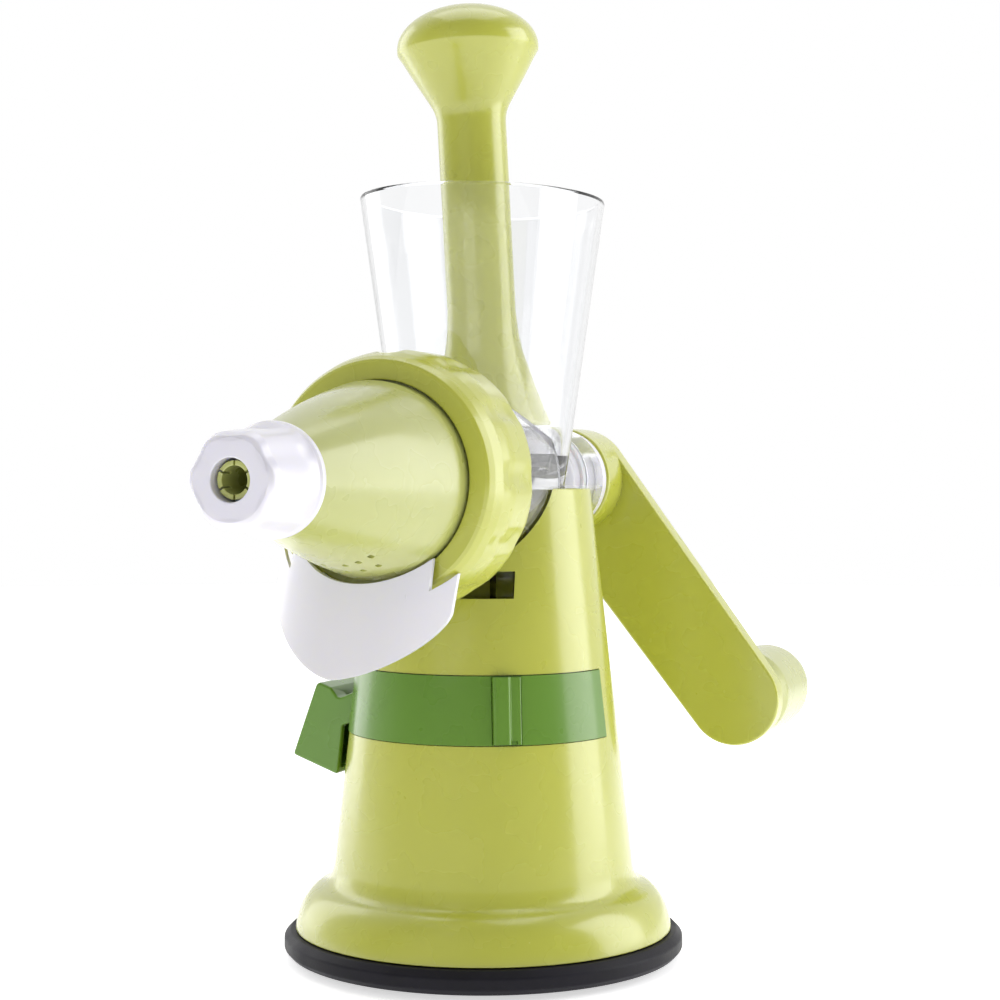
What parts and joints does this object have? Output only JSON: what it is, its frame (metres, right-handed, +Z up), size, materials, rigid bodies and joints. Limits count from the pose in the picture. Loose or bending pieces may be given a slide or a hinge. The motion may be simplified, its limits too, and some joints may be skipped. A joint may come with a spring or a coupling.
{
  "type": "hand-cranked screw juicer",
  "caption": "Hand-cranked screw juicer on a suction base: tapered column, clear hopper and barrel, nose cone, spout, outlet nut, crank and pusher.",
  "frame": {"origin": "centre of the suction pad's flat underside, on the table", "axes": "+Z up, nose cone towards -Y, crank towards +Y, suction lever on the -X side"},
  "size_m": [0.1581, 0.3521, 0.3464],
  "materials": {
    "lime_plastic": "glossy moulded plastic, fine texture",
    "green_plastic": "glossy moulded plastic",
    "white_plastic": "satin white moulded plastic",
    "clear_plastic": "clear polished plastic",
    "black_rubber": "matte black rubber",
    "silicone": "soft translucent silicone",
    "steel": "plain bright steel"
  },
  "bodies": {
    "stand": {"suction_pad": "black_rubber", "base_plate": "lime_plastic", "base_screw_1": "steel", "base_screw_2": "steel", "base_screw_3": "steel", "base_screw_4": "steel", "column_shell": "lime_plastic", "green_band": "green_plastic", "band_clip": "green_plastic", "barrel_rest": "lime_plastic", "return_spring": "steel", "lever_bracket": "white_plastic", "lever_pin": "steel", "pin_clip_front": "steel", "pin_clip_rear": "steel", "hopper_barrel": "clear_plastic", "rear_bush": "white_plastic", "shaft_seal": "silicone", "front_seal": "silicone", "nose_cone": "lime_plastic", "strainer": "steel"},
    "crank": {"auger": "white_plastic", "drive_shaft": "steel", "crank_arm": "lime_plastic", "crank_insert": "steel", "crank_screw": "steel", "crank_cap": "lime_plastic", "knob_spindle": "steel", "knob_washer": "steel", "knob_screw": "steel"},
    "handle": {"crank_knob": "lime_plastic", "knob_cap": "lime_plastic"},
    "pusher": {"pusher": "lime_plastic", "pusher_end_plate": "lime_plastic"},
    "ring": {"lock_ring": "lime_plastic", "juice_spout": "white_plastic"},
    "nut_seat": {"nut_washer": "silicone"},
    "nut": {"outlet_nut": "white_plastic"},
    "lever": {"suction_lever": "green_plastic"},
    "lift": {"lift_rod": "steel", "spring_washer": "steel", "crosshead": "steel", "rod_nut": "steel"}
  },
  "joints": [
    {"name": "crank_turn", "type": "hinge", "parent": "stand", "child": "crank", "pos_m": [0, 0.1, 0.173], "axis": [0, 1, 0], "continuous": true},
    {"name": "knob_spin", "type": "hinge", "parent": "crank", "child": "handle", "pos_m": [0.06696, 0.13, 0.08573], "axis": [0, 1, 0], "continuous": true},
    {"name": "pusher_lift", "type": "slide", "parent": "stand", "child": "pusher", "axis": [-0.0485, -0.0196, 0.9986], "range_m": [0, 0.1]},
    {"name": "ring_turn", "type": "hinge", "parent": "stand", "child": "ring", "pos_m": [0, -0.075, 0.173], "axis": [0, -1, 0], "range_deg": [0, 40]},
    {"name": "nut_travel", "type": "slide", "parent": "stand", "child": "nut_seat", "axis": [0, -1, 0], "range_m": [0, 0.0023]},
    {"name": "nut_turn", "type": "hinge", "parent": "nut_seat", "child": "nut", "pos_m": [0, -0.17, 0.173], "axis": [0, -1, 0], "range_deg": [0, 270]},
    {"name": "lever_flip", "type": "hinge", "parent": "stand", "child": "lever", "pos_m": [-0.037, 0, 0.092], "axis": [0, 1, 0], "range_deg": [0, 45]},
    {"name": "rod_lift", "type": "slide", "parent": "stand", "child": "lift", "axis": [0, 0, 1], "range_m": [0, 0.00345], "deforming": ["return_spring", "suction_pad"]}
  ],
  "couplings": [
    {"joint": "nut_travel", "follows": "nut_turn", "m_per_rad": 0.00047746},
    {"joint": "lever_flip", "follows": "rod_lift", "rad_per_m": 227.27}
  ]
}
